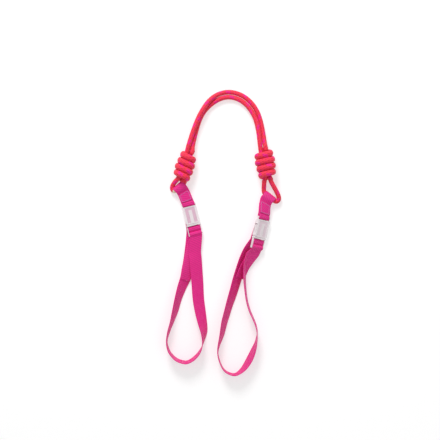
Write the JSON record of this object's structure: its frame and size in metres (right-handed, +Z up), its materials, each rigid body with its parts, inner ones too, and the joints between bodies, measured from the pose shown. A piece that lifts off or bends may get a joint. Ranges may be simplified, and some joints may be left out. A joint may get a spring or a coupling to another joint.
{
  "type": "carry sling",
  "caption": "Doubled braided rope handle with two barrel knots, carrying two adjustable webbing loops on clear side-release buckles.",
  "frame": {"origin": "bottom centre of the bounding box of the tabs, buckles and straps, lying flat", "axes": "+Z up from the table, +Y from the webbing loops towards the rope handle"},
  "size_m": [0.2304, 0.5748, 0.029],
  "materials": {
    "rope": "braided polyester rope, coral with hot pink flecks",
    "webbing": "woven polyester webbing, magenta, herringbone weave",
    "clear_plastic": "milky clear moulded plastic",
    "thread": "lavender sewing thread",
    "sleeve": "cream woven joining sleeve"
  },
  "bodies": {
    "handle": {"rope": "rope", "left_knot": "rope", "right_knot": "rope", "rope_join_sleeve": "sleeve"},
    "left_tab": {"left_tab": "webbing", "left_box_stitch": "thread", "left_socket": "clear_plastic", "left_strap_end": "webbing"},
    "left_plug": {"left_plug": "clear_plastic", "left_strap_loop": "webbing"},
    "left_arm_inner": {"left_arm_inner": "clear_plastic"},
    "left_arm_outer": {"left_arm_outer": "clear_plastic"},
    "right_tab": {"right_tab": "webbing", "right_box_stitch": "thread", "right_socket": "clear_plastic", "right_strap_end": "webbing"},
    "right_plug": {"right_plug": "clear_plastic", "right_strap_loop": "webbing"},
    "right_arm_inner": {"right_arm_inner": "clear_plastic"},
    "right_arm_outer": {"right_arm_outer": "clear_plastic"}
  },
  "joints": [
    {"name": "left_tab_swing", "type": "hinge", "parent": "handle", "child": "left_tab", "pos_m": [-0.0817, 0.1851, 0.00715], "axis": [0.7547, 0.6561, 0], "range_deg": [-90, 90]},
    {"name": "left_plug_slide", "type": "slide", "parent": "left_tab", "child": "left_plug", "axis": [0.2419, -0.9703, 0], "range_m": [0, 0.032], "deforming": ["left_arm_inner", "left_arm_outer"]},
    {"name": "left_arm_outer_squeeze", "type": "hinge", "parent": "left_plug", "child": "left_arm_outer", "pos_m": [-0.06404, 0.11334, 0.007], "axis": [0, 0, -1], "range_deg": [0, 7], "stiffness_Nm_per_rad": 0.3},
    {"name": "left_arm_inner_squeeze", "type": "hinge", "parent": "left_plug", "child": "left_arm_inner", "pos_m": [-0.04541, 0.11799, 0.007], "axis": [0, 0, 1], "range_deg": [0, 7], "stiffness_Nm_per_rad": 0.3},
    {"name": "right_tab_swing", "type": "hinge", "parent": "handle", "child": "right_tab", "pos_m": [0.0983, 0.1651, 0.00715], "axis": [0.788, -0.6157, 0], "range_deg": [-90, 90]},
    {"name": "right_plug_slide", "type": "slide", "parent": "right_tab", "child": "right_plug", "axis": [-0.225, -0.9744, 0], "range_m": [0, 0.032], "deforming": ["right_arm_inner", "right_arm_outer"]},
    {"name": "right_arm_inner_squeeze", "type": "hinge", "parent": "right_plug", "child": "right_arm_inner", "pos_m": [0.07087, 0.09038, 0.01911], "axis": [-0.5589, 0.129, -0.8192], "range_deg": [0, 7], "stiffness_Nm_per_rad": 0.3},
    {"name": "right_arm_outer_squeeze", "type": "hinge", "parent": "right_plug", "child": "right_arm_outer", "pos_m": [0.08619, 0.08685, 0.00809], "axis": [0.5589, -0.129, 0.8192], "range_deg": [0, 7], "stiffness_Nm_per_rad": 0.3}
  ]
}
